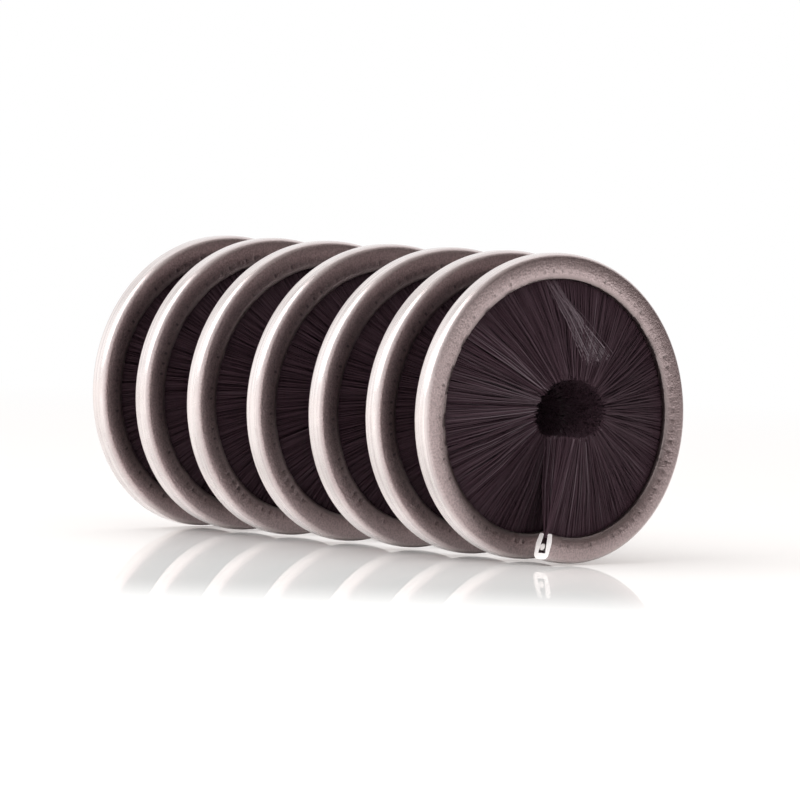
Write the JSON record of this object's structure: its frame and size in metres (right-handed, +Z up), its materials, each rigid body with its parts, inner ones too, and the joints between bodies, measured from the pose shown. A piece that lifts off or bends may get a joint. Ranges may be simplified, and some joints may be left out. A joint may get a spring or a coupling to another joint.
{
  "type": "rope cleaning brush",
  "caption": "Coil brush for cleaning climbing rope: an open coil of metal channel strip, filled with black bristles that point inwards round a hole for the rope.",
  "frame": {"origin": "centre of the coil's length, on the surface that the coil lies on", "axes": "+X along the coil's axis towards its front end, where the strip is cut near the bottom; +Z up; +Y to the left of someone who looks along +X"},
  "size_m": [0.089, 0.043, 0.043],
  "materials": {
    "strip": "satin galvanised steel sheet",
    "wire": "bright drawn steel wire",
    "bristle": "black nylon filament"
  },
  "bodies": {
    "root": {"channel_strip": "strip", "core_wire": "wire", "bristles_turn1_1": "bristle", "bristles_turn1_2": "bristle", "bristles_turn1_3": "bristle", "bristles_turn1_4": "bristle", "bristles_turn1_5": "bristle", "bristles_turn1_6": "bristle", "bristles_turn1_7": "bristle", "bristles_turn1_8": "bristle", "bristles_turn2_1": "bristle", "bristles_turn2_2": "bristle", "bristles_turn2_3": "bristle", "bristles_turn2_4": "bristle", "bristles_turn2_5": "bristle", "bristles_turn2_6": "bristle", "bristles_turn2_7": "bristle", "bristles_turn2_8": "bristle", "bristles_turn3_1": "bristle", "bristles_turn3_2": "bristle", "bristles_turn3_3": "bristle", "bristles_turn3_4": "bristle", "bristles_turn3_5": "bristle", "bristles_turn3_6": "bristle", "bristles_turn3_7": "bristle", "bristles_turn3_8": "bristle", "bristles_turn4_1": "bristle", "bristles_turn4_2": "bristle", "bristles_turn4_3": "bristle", "bristles_turn4_4": "bristle", "bristles_turn4_5": "bristle", "bristles_turn4_6": "bristle", "bristles_turn4_7": "bristle", "bristles_turn4_8": "bristle", "bristles_turn5_1": "bristle", "bristles_turn5_2": "bristle", "bristles_turn5_3": "bristle", "bristles_turn5_4": "bristle", "bristles_turn5_5": "bristle", "bristles_turn5_6": "bristle", "bristles_turn5_7": "bristle", "bristles_turn5_8": "bristle", "bristles_turn6_1": "bristle", "bristles_turn6_2": "bristle", "bristles_turn6_3": "bristle", "bristles_turn6_4": "bristle", "bristles_turn6_5": "bristle", "bristles_turn6_6": "bristle", "bristles_turn6_7": "bristle", "bristles_turn6_8": "bristle", "bristles_turn7_1": "bristle", "bristles_turn7_2": "bristle", "bristles_turn7_3": "bristle", "bristles_turn7_4": "bristle", "bristles_turn7_5": "bristle", "bristles_turn7_6": "bristle", "bristles_turn7_7": "bristle", "bristles_turn7_8": "bristle", "bristles_turn8_1": "bristle"}
  },
  "joints": []
}
